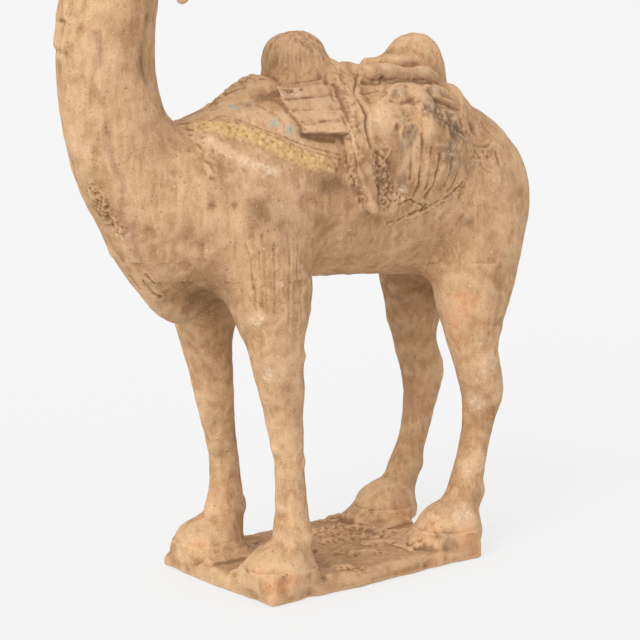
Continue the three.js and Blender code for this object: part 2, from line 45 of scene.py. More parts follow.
# The camera. It stands about 1.3 m from the figure, a little above its back, and looks down
# on it past its left shoulder, so that the head is cut off by the upper edge of the picture.
camera_lens = bpy.data.cameras.new("studio_camera")
camera_lens.sensor_width = 36
camera_lens.lens = 93.1
camera_lens.clip_start = 0.05
camera = bpy.data.objects.new("studio_camera", camera_lens)
camera.location = Vector((-798.6, -983.5, 367.6)) * MM
camera.rotation_euler = (math.radians(90 - 7.86), 0, math.radians(-38.95))
bpy.context.scene.collection.objects.link(camera)
bpy.context.scene.camera = camera
bpy.context.scene.view_settings.view_transform = "Standard"


# The studio. A sheet of pale matt paper lies under the figure and runs on into pale haze, lit by
# a broad sky of white cloth and by one very large soft lamp, on the camera's left.
def linear(hex_colour):
    """The linear colour of an sRGB hex value."""
    parts = [int(hex_colour[i:i + 2], 16) / 255 for i in (1, 3, 5)]
    return tuple(c / 12.92 if c <= 0.04045 else ((c + 0.055) / 1.055) ** 2.4 for c in parts) + (1,)


def add_node(tree, kind, settings=None, links=None):
    """Add a shader node; settings name its properties or sockets, links name sockets and what feeds them."""
    node = tree.nodes.new("ShaderNode" + kind)
    for name, value in (settings or {}).items():
        if isinstance(name, str) and hasattr(node, name):
            setattr(node, name, value)
        else:
            node.inputs[name].default_value = value
    for name, source in (links or {}).items():
        tree.links.new(source, node.inputs[name])
    return node


PAPER_RADIUS = 4000
HAZE = linear("#f6f6f6")
PAPER_ALBEDO = 0.16        # little of the paper's brightness comes from the lamps, so shadows stay faint
LAMP_FROM = Vector((-1.0, -0.42, 0.62)).normalized()
LAMP_POWER = 2.35

paper_mesh = bpy.data.meshes.new("paper_floor")
shape = bmesh.new()
bmesh.ops.create_circle(shape, cap_ends=True, segments=96, radius=PAPER_RADIUS * MM)
shape.to_mesh(paper_mesh)
shape.free()
paper_floor = bpy.data.objects.new("paper_floor", paper_mesh)
bpy.context.scene.collection.objects.link(paper_floor)

lit_share = PAPER_ALBEDO * (HAZE[0] + LAMP_POWER * LAMP_FROM.z / math.pi) / HAZE[0]
paper = bpy.data.materials.new("matt_white_paper")
paper.use_nodes = True
paper_tree = paper.node_tree
paper_tree.nodes.clear()
paper_lit = add_node(paper_tree, "BsdfDiffuse", {"Color": (PAPER_ALBEDO,) * 3 + (1,)})
paper_glow = add_node(paper_tree, "Emission", {"Color": HAZE, "Strength": 1 - lit_share})
paper_sum = add_node(paper_tree, "AddShader", {}, {0: paper_lit.outputs[0], 1: paper_glow.outputs[0]})
add_node(paper_tree, "OutputMaterial", {}, {"Surface": paper_sum.outputs[0]})
paper_mesh.materials.append(paper)

sky = bpy.data.worlds.new("white_cloth_sky")
sky.use_nodes = True
sky.node_tree.nodes["Background"].inputs["Color"].default_value = HAZE
sky.node_tree.nodes["Background"].inputs["Strength"].default_value = 1.0
bpy.context.scene.world = sky

lamp_light = bpy.data.lights.new("soft_lamp", "SUN")
lamp_light.angle = math.radians(40)
lamp_light.energy = LAMP_POWER
soft_lamp = bpy.data.objects.new("soft_lamp", lamp_light)
soft_lamp.rotation_euler = LAMP_FROM.to_track_quat("Z", "Y").to_euler()
bpy.context.scene.collection.objects.link(soft_lamp)


# The clay body. The real figure is one hand-built shell of buff earthenware: coiled neck and
# trunk, rolled legs, all luted together wet, smoothed over and fired once at a low heat. The
# solid's facets are cut up fine here and rubbed smooth, and every form below is worked into them.
CLAY_GRID = 1.15      # how fine the clay is cut up for carving

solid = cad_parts["pottery_camel"]
clay = solid.data.copy()
shape = bmesh.new()
shape.from_mesh(clay)
bmesh.ops.remove_doubles(shape, verts=shape.verts, dist=0.002 * MM)
shape.to_mesh(clay)
shape.free()
camel = bpy.data.objects.new("camel_clay", clay)
bpy.context.scene.collection.objects.link(camel)


def take_up(modifier):
    """Let a modifier remake the camel's mesh, and pick up its points and edges."""
    global clay, count, P, edge_from, edge_to, neighbours
    clay = bpy.data.meshes.new_from_object(camel.evaluated_get(bpy.context.evaluated_depsgraph_get()))
    camel.modifiers.remove(modifier)
    camel.data = clay
    count = len(clay.vertices)
    flat = np.empty(count * 3, dtype=np.float32)
    clay.vertices.foreach_get("co", flat)
    P = flat.reshape(-1, 3).astype(float) / MM
    ends = np.empty(len(clay.edges) * 2, dtype=np.int32)
    clay.edges.foreach_get("vertices", ends)
    edge_from, edge_to = ends[0::2].copy(), ends[1::2].copy()
    neighbours = np.bincount(edge_from, minlength=count) + np.bincount(edge_to, minlength=count)


def averaged(values):
    """Each point's value, averaged over its neighbours."""
    columns = []
    for column in values.reshape(count, -1).T:
        columns.append(np.bincount(edge_from, column[edge_to], count)
                       + np.bincount(edge_to, column[edge_from], count))
    return (np.stack(columns, 1) / neighbours[:, None]).reshape(values.shape)


def rubbed(points, rounds, most):
    """The points after the clay is rubbed smooth, none moved further than most."""
    moved = points.copy()
    for _ in range(rounds):
        moved += 0.6 * (averaged(moved) - moved)
    step = moved - points
    length = np.linalg.norm(step, axis=1, keepdims=True)
    return points + step * np.minimum(1, most / np.maximum(length, 1e-9))


def facing():
    """Put the points into the mesh and read back which way the skin faces at each of them."""
    clay.vertices.foreach_set("co", (P * MM).astype(np.float32).ravel())
    clay.update()
    flat = np.empty(count * 3, dtype=np.float32)
    clay.vertex_normals.foreach_get("vector", flat)
    return flat.reshape(-1, 3).astype(float)


LATTICE_TILT = np.array([[0.36, 0.48, -0.8], [-0.8, 0.6, 0], [0.48, 0.64, 0.6]])


def unevenness(points, size, seed):
    """A smooth random field from -1 to 1, with swells and hollows of about the given size."""
    lattice = points @ LATTICE_TILT / size + 17.3 * seed
    corner = np.floor(lattice).astype(np.int64)
    part = lattice - corner
    part = part * part * (3 - 2 * part)
    field = np.zeros(len(points))
    for step in np.ndindex(2, 2, 2):
        mixed = (corner + np.array(step)) @ np.array([73856093, 19349663, 83492791])
        mixed = ((mixed ^ (mixed >> 13)) * 1274126177) & 0x7FFFFFFF
        mixed = (mixed ^ (mixed >> 15)) & 0xFFFF
        field += np.prod(np.where(step, part, 1 - part), axis=1) * (mixed / 32767.5 - 1)
    return field


cut_up = camel.modifiers.new("cut_up", "REMESH")
cut_up.mode = "VOXEL"
cut_up.voxel_size = CLAY_GRID * MM
take_up(cut_up)
P = rubbed(P, 60 if CLAY_GRID < 2 else 18, 0.9)
N = facing()

# the maker's hands leave shallow swells a palm, a thumb and a fingertip wide
P += N * (1.0 * unevenness(P, 34, 1) + 0.5 * unevenness(P, 13, 2) + 0.28 * unevenness(P, 6, 3))[:, None]
N = facing()
skin = BVHTree.FromObject(camel, bpy.context.evaluated_depsgraph_get())


def on_skin(places, side=-1):
    """A smooth line over the skin through places, each (x, z) seen from a side or (x, y, z)."""
    knots = []
    for place in places:
        if len(place) == 2:
            start = Vector((place[0], side * 200, place[1])) * MM
            hit = skin.ray_cast(start, Vector((0, -side, 0)))[0]
            place = hit / MM if hit else skin.find_nearest(Vector((place[0], 0, place[1])) * MM)[0] / MM
        knots.append(np.array(place, float))
    run = [knots[0]] + knots + [knots[-1]]
    line = []
    for a, b, c, d in zip(run, run[1:], run[2:], run[3:]):
        steps = max(1, int(np.linalg.norm(c - b) / 3))
        for t in np.arange(steps) / steps:
            line.append(0.5 * (2 * b + (c - a) * t + (2 * a - 5 * b + 4 * c - d) * t ** 2
                               + (3 * b - a - 3 * c + d) * t ** 3))
    line.append(knots[-1])
    return np.array([skin.find_nearest(Vector(p) * MM)[0] / MM for p in line])


def mirrored(places):
    """The same places on the figure's far side."""
    return [(x, -y, z) for x, y, z in places]


def from_line(points, line):
    """How far each point is from a line over the skin."""
    gap = np.linalg.norm(points - line[0], axis=1)
    for a, b in zip(line[:-1], line[1:]):
        run = b - a
        part = np.clip((points - a) @ run / max(run @ run, 1e-9), 0, 1)
        gap = np.minimum(gap, np.linalg.norm(points - a - part[:, None] * run, axis=1))
    return gap


def within(line, reach, points=None):
    """The numbers of the points within reach of a line's box."""
    points = P if points is None else points
    return np.flatnonzero(((points > line.min(0) - reach) & (points < line.max(0) + reach)).all(1))


def stroke(places, width, depth, lip=0.0, ragged=0.35, seed=1, uneven=0.45):
    """Draw a tool through the clay, cutting depth in; a depth below 0 lays a ridge of clay on."""
    line = on_skin(places)
    i = within(line, 3 * width + 1)
    gap = from_line(P[i], line) + ragged * width * unevenness(P[i], 2.2 * width + 1, seed)
    cut = np.exp(-(gap / width) ** 2) - lip * np.exp(-((gap - 1.7 * width) / (0.8 * width)) ** 2)
    P[i] -= N[i] * (depth * cut * (1 + uneven * unevenness(P[i], 9, seed + 3)))[:, None]


def lump(place, radius, height, stretch=(1, 1, 1), ragged=0.25, seed=1, flat=2):
    """Press a lump of clay on, or a dent in where height is below 0."""
    middle = on_skin([place])
    i = within(middle, 2.2 * radius * max(stretch))
    gap = np.linalg.norm((P[i] - middle[0]) / np.array(stretch, float), axis=1)
    gap += ragged * radius * unevenness(P[i], radius, seed)
    P[i] += N[i] * (height * np.exp(-(np.abs(gap) / radius) ** flat))[:, None]


def crumble(places, reach, height, seed, size=4.2):
    """Break the skin along a line into crumbs, from fine grains to lumps of the given size."""
    line = on_skin(places)
    i = within(line, 1.8 * reach)
    rough = np.exp(-(from_line(P[i], line) / reach) ** 3)
    crumbs = 1.1 * np.abs(unevenness(P[i], size, seed)) - 0.5 + 0.8 * unevenness(P[i], 0.5 * size, seed + 1)
    P[i] += N[i] * (rough * height * crumbs)[:, None]


def melt(spots, rounds):
    """Rub the clay smooth around spots, each (place, radius), and nowhere else."""
    global P
    soft = rubbed(P, rounds, 30)
    weight = np.zeros(count)
    for spot, radius in spots:
        weight = np.maximum(weight, np.exp(-(np.linalg.norm(P - np.array(spot), axis=1) / radius) ** 4))
    P += (soft - P) * weight[:, None]


# The plinth. A slab of the same clay, cut by eye and pressed flat: its top edges are worn round,
# its sides wander, and its top is torn and dragged where the camel was luted on.
PLINTH_HALF = np.array([105, 71])
PLINTH_TOP = 13
EDGE_ROUND = 7
FEET = [(-80.5, -47), (-79, 45), (92, -44), (101, 41)]

slab = np.flatnonzero(P[:, 2] < PLINTH_TOP + 1.6)
clear_of_feet = np.min([np.hypot((P[slab, 0] - x - 2) / 33, (P[slab, 1] - y) / 31) for x, y in FEET], axis=0)
bare = np.clip((clear_of_feet - 0.92) * 8, 0, 1)
beyond = np.zeros((len(slab), 3))
beyond[:, :2] = np.sign(P[slab, :2]) * np.maximum(np.abs(P[slab, :2]) - (PLINTH_HALF - EDGE_ROUND), 0)
beyond[:, 2] = np.maximum(P[slab, 2] - (PLINTH_TOP - EDGE_ROUND), 0)
over = np.linalg.norm(beyond, axis=1)
P[slab] -= beyond * (np.maximum(over - EDGE_ROUND, 0) / np.maximum(over, 1e-9) * bare)[:, None]
wander = np.stack([1.3 * unevenness(P[slab], 42, 11) + 0.7 * unevenness(P[slab], 9, 12),
                   1.3 * unevenness(P[slab], 42, 13) + 0.7 * unevenness(P[slab], 9, 14)], 1)
P[slab, :2] += wander * np.clip(over / EDGE_ROUND, 0, 1)[:, None] * np.clip(P[slab, 2:3] / 3, 0.4, 1)
N = facing()
top = np.flatnonzero((np.abs(P[:, 2] - PLINTH_TOP) < 2.5) & (N[:, 2] > 0.5))
dragged = P[top] * (0.4, 1, 1)
torn = np.clip(1.2 - np.hypot((P[top, 0] - 8) / 70, (P[top, 1] - 4) / 62), 0.15, 1)
P[top, 2] += 0.7 * unevenness(P[top], 26, 15) + 0.25 * unevenness(P[top], 5, 16) \
    - 1.2 * torn * np.clip(0.25 - np.abs(unevenness(dragged, 9, 17)), 0, 1) \
    + 0.35 * torn * unevenness(dragged, 3, 18)
for gouge in ([(-22, -5, 13), (-14, -14, 13), (-2, -20, 13)], [(-34, 2, 13), (-20, -8, 13), (-10, -8, 13)],
              [(20, 24, 13), (32, 28, 13), (44, 30, 13)], [(24, 16, 13), (38, 18, 13)],
              [(48, 63, 13), (56, 61, 13), (64, 56, 13)], [(30, -20, 13), (46, -27, 13)],
              [(34, 4, 13), (43, 0, 13), (55, -3, 13)], [(44, 32, 13), (54, 24, 13)],
              [(66, 0, 13), (79, -8, 13)], [(-32, -58, 13), (-18, -64, 13)],
              [(16, 36, 13), (28, 34, 13), (38, 38, 13)], [(4, -32, 13), (20, -40, 13)],
              [(-40, 20, 13), (-26, 14, 13), (-12, 16, 13)], [(8, 8, 13), (24, 2, 13)]):
    crumble(gouge, 5, 3.0, len(gouge) + gouge[0][0], 7)
    stroke([(x, y + 2.5, z) for x, y, z in gouge], 1.8, 2.6, lip=0.7, ragged=0.9, seed=gouge[0][0] + 90)
for place, radius, depth in (((46, -71, 4), 3, 1.2), ((67, -71, 7), 3.4, 1.2), ((-95, -71, 10), 4, 1.4),
                             ((-68, -71, 2), 5, 1.8), ((-105, -20, 9), 4, 1.2), ((8, -71, 11), 4, 1.2),
                             ((-105, 35, 6), 3, 1.1), ((105, 12, 8), 4, 1.4), ((-20, 71, 9), 4, 1.4)):
    lump(place, radius, -depth, seed=int(place[0]) + 300)


# The feet and legs. Each leg is a rolled bar bent at knee or hock, luted to a pad-like foot that
# slopes out to the plinth; knobs of clay stand for the heels, and the shins are wiped lengthwise.
for x, y, ankle_x, ankle_y, waist, most in ((-80.5, -47, -72, -52, 41, 9), (-79, 45, -69, 40, 43, 9),
                                            (92, -44, 102, -48, 46, 6.5), (101, 41, 116, 36, 48, 5)):
    i = np.flatnonzero((np.abs(P[:, 0] - x) < 48) & (np.abs(P[:, 1] - y) < 34) & (P[:, 2] > 12.5) & (P[:, 2] < 75))
    out = P[i, :2] - (ankle_x, ankle_y)
    reach = np.linalg.norm(out, axis=1)
    toe = np.clip(0.45 - 0.55 * out[:, 0] / np.maximum(reach, 1), 0, 1)
    drawn_in = most * np.exp(-((P[i, 2] - waist) / 9) ** 2) * toe * np.clip((reach - 12) / 10, 0, 1)
    P[i, :2] -= out / np.maximum(reach, 1)[:, None] * drawn_in[:, None]
    apart = (P[i, :2] - (x, y)) / (29, 26.5)
    gap = 27 * (np.linalg.norm(apart, axis=1) - 0.98)
    banked = np.exp(-np.maximum(gap, 0) / (6 + 3 * toe)) * np.clip(gap / 3 + 1, 0, 1)
    P[i, 2] += (6.5 + 4 * toe) * banked * np.clip(1 - (P[i, 2] - PLINTH_TOP) / 12, 0, 1)
melt([((x - 3, y, 16), 44) for x, y in FEET], 5)
melt([((-80, -52, 46), 17), ((-78, 42, 48), 17), ((94, -48, 50), 16), ((106, 38, 52), 16)], 22)
N = facing()
for x, y, z, radius, height in ((-58, -58, 44, 7, 3.4), (-50, 42, 46, 8, 4.2), (126, -56, 47, 8, 3.6),
                                (140, 40, 52, 7, 3.0), (132, -62, 130, 11, 1.8), (150, 36, 134, 11, 1.5)):
    lump((x, y, z), radius, height, (0.9, 1.1, 1.1), seed=int(x) + 400)
for x, y, z, radius, height in ((-84, -45, 109, 4, 2.0), (-89, -50, 66, 4, 1.8), (-65, -57, 178, 4, 1.6),
                                (-92, -44, 150, 7, 1.6), (-86, 40, 119, 6, 2.0), (-80, 38, 95, 6, 1.8),
                                (120, 40, 132, 5, 1.8), (83, -54, 62, 4, 1.6), (150, -58, 176, 5, 1.6),
                                (94, 30, 205, 5, 2.0), (-96, -54, 176, 6, 1.5), (71, -46, 37, 4.5, 3.0),
                                (84, -66, 44, 4, 1.6), (-75, -70, 31, 5, 1.5), (-60, -56, 100, 4, 1.2)):
    lump((x, y, z), radius, height, seed=int(x) + 430)
for cleft in ([(86, 30, 40), (77, 31, 28), (76, 28, 19)], [(69, -52, 30), (68, -57, 22)],
              [(-100, 48, 36), (-107, 46, 28), (-109, 44, 22)], [(-101, -40, 36), (-108, -42, 28), (-110, -44, 22)]):
    stroke(cleft, 3.4, 0.9, seed=int(cleft[0][0]) + 460)
legs = np.flatnonzero((P[:, 2] > 16) & (P[:, 2] < 235))
P[legs] += N[legs] * (0.55 * unevenness(P[legs] * (1, 1, 0.35), 10, 18)
                      + 0.3 * unevenness(P[legs] * (1, 1, 0.6), 4, 19))[:, None]
for dx in range(0, 60, 5):      # upper forelegs combed downwards with a toothed tool, on both sides
    for side in (-1, 1):
        x, low = -121 + dx + 2.2 * math.sin(5 * dx), 222 + 16 * math.sin(dx * 1.7 + side)
        stroke([(x, side * 70, 262 + 9 * math.sin(dx)), (x + 0.6 - 0.03 * dx, side * 70, 240),
                (x + 1.5 - 0.08 * dx, side * 70, low)], 0.9, 0.4 + 0.25 * math.cos(3 * dx), ragged=0.9, seed=dx + 40)


# The neck and chest. The coils are drawn into one curved column with long upward strokes; down its
# front hangs a fringe of hair, roughed out as a ragged ridge, and the breast ends in a pad of horn.
neck = np.flatnonzero((P[:, 0] < -120) & (P[:, 2] > 250) & (P[:, 2] < 450))
drawn = P[neck] * (0.8, 0.9, 0.13)
P[neck] += N[neck] * (0.4 * unevenness(drawn, 5, 20) + 0.22 * unevenness(drawn, 2.4, 21))[:, None]
for ridge in ([(-219, 15, 446), (-221, 14, 432), (-221, 14, 419)], [(-221, 15, 412), (-222, 14, 405), (-222, 14, 400)],
              [(-224, 0, 446), (-226, 0, 430), (-226, -2, 417)], [(-224, -8, 412), (-226, -6, 402), (-226, -2, 396)]):
    stroke(ridge, 4.0, -1.8, ragged=0.6, seed=int(ridge[0][2]) + 50)
stroke([(-219, 16, 415), (-224, 6, 415), (-225, -4, 414)], 1.8, 1.6, seed=52)
stroke([(-220, 16, 395), (-225, 6, 395), (-226, -3, 393)], 2.2, 1.0, seed=53)
lump((-216, 9, 319), 4, -1.5, seed=53)
crumble([(-208, -8, 300), (-202, -11, 288), (-196, -12, 279), (-192, -13, 273)], 6, -2.2, 54)
stroke([(-214, -23, 406), (-212, -25, 392), (-217, -22, 374), (-211, -26, 361)], 3.2, 0.7, ragged=0.6, seed=56)
stroke([(-211, -26, 358), (-209, -26, 343), (-205, -26, 323), (-198, -28, 308), (-197, -27, 301)], 2.6, 0.6,
       ragged=0.6, seed=57)
stroke([(-177, -28, 417), (-179, -29, 401), (-182, -30, 391), (-179, -29, 374)], 2.6, 0.6, seed=58)
for crack in ([(-171, -10, 237), (-165, -10, 229), (-158, -12, 223)], [(-172, -15, 241), (-166, -16, 233)],
              [(-187, -2, 256), (-183, -4, 249)], [(-175, -2, 240), (-168, -2, 230)]):
    stroke(crack, 1.1, 1.0, lip=0.2, ragged=0.7, seed=int(crack[0][2]))
lump((-186, 6, 256), 5, 1.6, seed=59)
for place, radius, depth in (((-138, -48, 290), 4, 0.9), ((-154, -41, 268), 5, 1.2), ((-162, -31, 335), 5, 0.8),
                             ((-121, -52, 289), 4, 0.9), ((-162, -39, 313), 5, 0.8), ((-107, -57, 288), 8, 1.2),
                             ((-111, -56, 268), 6, 1.0), ((-144, -44, 262), 6, 0.9), ((129, -64, 276), 5, 0.7),
                             ((99, -59, 267), 8, 0.9), ((-38, -56, 298), 9, 1.0), ((-8, -48, 260), 9, 1.0)):
    lump(place, radius, -depth, seed=int(place[0]) + 600)
    lump((place[0] + 4, -place[1], place[2] - 3), radius, -depth, seed=int(place[0]) + 620)


# The blanket. A thick saddle cloth lies over the back and hangs to mid-belly; it is not a cloth on
# the real figure but a thin sheet of clay, with a painted border between incised lines.
blanket_seam = [(-136, -8, 350), (-137, -23, 338), (-134, -35, 327), (-133, -39, 321), (-135, -44, 310)]
border_top = [(-121, -19, 346), (-111, -20, 351), (-105, -23, 350), (-94, -35, 344), (-78, -44, 337),
              (-54, -51, 328), (-30, -55, 322)]
border_middle = [(-128, -19, 344), (-110, -32, 341), (-86, -44, 331), (-62, -52, 320), (-38, -56, 314)]
border_low = [(-130, -31, 334), (-117, -43, 324), (-103, -48, 317), (-85, -53, 311)]

for turn, number in ((list, 0), (mirrored, 40)):
    crumble(turn(blanket_seam), 5, -1.3, 60 + number, 5)
    stroke(turn(border_low), 4.5, -1.0, ragged=0.4, seed=65 + number)
    stroke(turn(border_top), 0.8, 0.7, lip=0.2, ragged=0.6, seed=61 + number)
    stroke([(x, y, z - 3.4) for x, y, z in turn(border_top)], 0.7, 0.5, ragged=0.6, seed=62 + number)
    for cross in range(6):      # the border's cloth is squared with the point of a stick
        x, z = -100 + 9 * cross, 357 - 4 * cross
        stroke(turn([(x, -20 - 4 * cross, z), (x - 3, -30 - 4 * cross, z - 13)]), 0.7, 0.3, seed=66 + cross)
    border = on_skin(turn(border_middle))
    i = within(border, 12)
    worn = np.exp(-(from_line(P[i], border) / 7) ** 4)
    curls = np.abs(unevenness(P[i], 4.4, 63)) - 0.3
    P[i] += N[i] * (worn * (0.9 + 1.5 * curls + 0.6 * unevenness(P[i], 2.1, 64)))[:, None]


# The saddle boards. Four thin boards are modelled as one slab pressed to the blanket on each side,
# scored along between them and cut off slanting in front; the hind ends run on under the bags.
board_foot = [(-60, -54, 341), (-44, -58, 339), (-27, -61, 338)]
board_ends = [(-76, -33, 369), (-71, -42, 360), (-66, -50, 350), (-60, -54, 341)]

for side in (-1, 1):
    x, y, z = P[:, 0], side * P[:, 1], P[:, 2]
    head = 369 + 0.087 * (x + 74)            # the slab's upper edge
    foot = 338.5 - 0.05 * (x + 60)           # and its lower edge
    down = (head - z) / (head - foot)
    i = np.flatnonzero((np.abs(down - 0.5) < 0.62) & (x > -80) & (x < -22) & (y > 25))
    down, slant = down[i], P[i, 0] + 75 - 15 * down[i]
    edge = np.minimum.reduce([down * 40, (1 - down) * 40, slant]) + 0.7 * unevenness(P[i], 6, 67)
    inside = np.clip(edge / 1.6 + 0.5, 0, 1)
    flat_y = 37 + 0.02 * (P[i, 0] + 74) + down * (19 + 0.16 * (P[i, 0] + 60))
    round_board = 1.0 * np.abs(np.sin(np.pi * np.clip(down, 0, 1) * 4)) ** 0.5
    P[i, 1] += side * inside * (flat_y + round_board + 0.35 * unevenness(P[i], 7, 68) - side * P[i, 1])
N = facing()
for turn, number in ((list, 0), (mirrored, 9)):
    for line in ([(-70, -42, 362), (-50, -43, 363.5), (-28, -43, 365)], [(-66, -47, 354), (-48, -48, 355), (-28, -49, 356)],
                 [(-62, -52, 346), (-46, -54, 346.5), (-28, -56, 347)]):
        stroke(turn(line), 0.9, 0.9, ragged=0.4, seed=int(line[0][2]) + number)
    stroke([(x, y, z - 5.0) for x, y, z in turn(board_foot)], 1.7, 1.5, ragged=0.4, seed=70 + number)
    stroke([(x - 3.6, y, z) for x, y, z in turn(board_ends)], 1.6, 0.8, ragged=0.4, seed=71 + number)
    stroke([(x - 12, y, z) for x, y, z in turn(board_ends)], 1.4, 0.5, ragged=0.6, seed=72 + number)


# The pack strap. A twisted cloth band is laid over the load and down each side as one soft roll of
# clay; its lower end has sunk into crumbled clay that once joined it to the bag.
strap_left = [(-24, -31, 378), (-28, -37, 372), (-27, -42, 366), (-27, -51, 356), (-26, -61, 339), (-26, -62, 331),
              (-24, -64, 321), (-21, -63, 309)]
strap_right = [(5, -32, 378), (-4, -42, 373), (-12, -51, 367), (-10, -57, 357), (-9, -60, 350), (-11, -63, 343),
               (-10, -65, 335), (-9, -66, 328)]
strap_middle = [(-10, -34, 380), (-19, -46, 367), (-18, -56, 356), (-19, -62, 343), (-18, -65, 330), (-17, -67, 318)]
strap_end = [(-20, -67, 314), (-15, -68, 307), (-11, -68, 301), (-5, -68, 292), (1, -65, 284)]

for turn, number in ((list, 0), (mirrored, 30)):
    stroke(turn(strap_left), 1.4, 1.7, ragged=0.5, seed=81 + number)
    stroke(turn(strap_right), 1.7, 2.2, ragged=0.5, seed=82 + number)
    stroke(turn(strap_middle), 4.5, 0.9, ragged=0.4, seed=85 + number)
    crumble(turn(strap_middle), 7, 1.0, 83 + number, 5)
    crumble(turn([(-24, -60, 318), (-20, -58, 304), (-12, -57, 291)]), 4, -1.8, 84 + number, 4)
    for high in (374, 364, 352, 339, 327):     # the slanting creases of the twist
        x, y, z = min(turn(strap_middle), key=lambda p: abs(p[2] - high))
        stroke([(x - 6, y, high + 5), (x, y, high), (x + 5, y, high - 6)], 1.6, 0.5, ragged=0.9, seed=high, uneven=0.9)
    stroke(turn(strap_end), 4.5, 2.2, ragged=0.2, seed=86 + number, uneven=0.2)
    stroke(turn([(-1, -63, 322), (1, -61, 310), (7, -59, 299), (15, -58, 291), (20, -57, 284)]), 8, -3.2, seed=88 + number)
    stroke(turn([(-24, -58, 306), (-22, -57, 296), (-14, -57, 284)]), 6, -2.6, seed=89 + number)
    stroke(turn([(-6, -64, 284), (6, -60, 279), (20, -57, 280)]), 5, -2.0, seed=79 + number)
melt([((0, -66, 286), 9), ((0, 66, 286), 9), ((-10, -68, 300), 7), ((-10, 68, 300), 7)], 12)
lump((-13, -60, 350), 4, 1.2, seed=87)


# The bags and roll. A wide cloth bag hangs over the back behind the strap, pinched into a beast mask
# on each side, with a rolled mat across its top; all soft clay, pressed and pinched from one sheet.
roll = [(7, -32, 379), (15, -35, 381), (25, -38, 384), (33, -40, 383), (41, -40, 383), (53, -40, 382), (62, -41, 381),
        (76, -38, 378)]
cheek_edge = [(-2, -61, 346), (0, -61, 353), (4, -62, 357), (13, -63, 360), (24, -62, 359), (34, -57, 359)]
pleats = [([(37, -71, 336), (39, -69, 327), (39, -69, 318), (39, -66, 307), (41, -62, 297), (36, -58, 288)], 1.1),
          ([(57, -69, 320), (55, -67, 307), (55, -63, 298), (51, -59, 289)], 1.0),
          ([(82, -62, 306), (79, -60, 299), (74, -59, 293)], 0.9), ([(70, -68, 318), (71, -65, 307), (69, -61, 297)], 0.8),
          ([(28, -70, 330), (29, -68, 316), (31, -64, 303)], 0.7), ([(47, -70, 326), (47, -67, 310), (48, -61, 296)], 0.6)]
hems = [[(8, -57, 285), (24, -57, 285), (36, -57, 287), (48, -57, 283), (57, -57, 282), (66, -58, 285), (76, -58, 289),
         (90, -58, 299)], [(19, -53, 270), (30, -54, 273), (41, -55, 276), (49, -56, 278), (58, -56, 280)]]

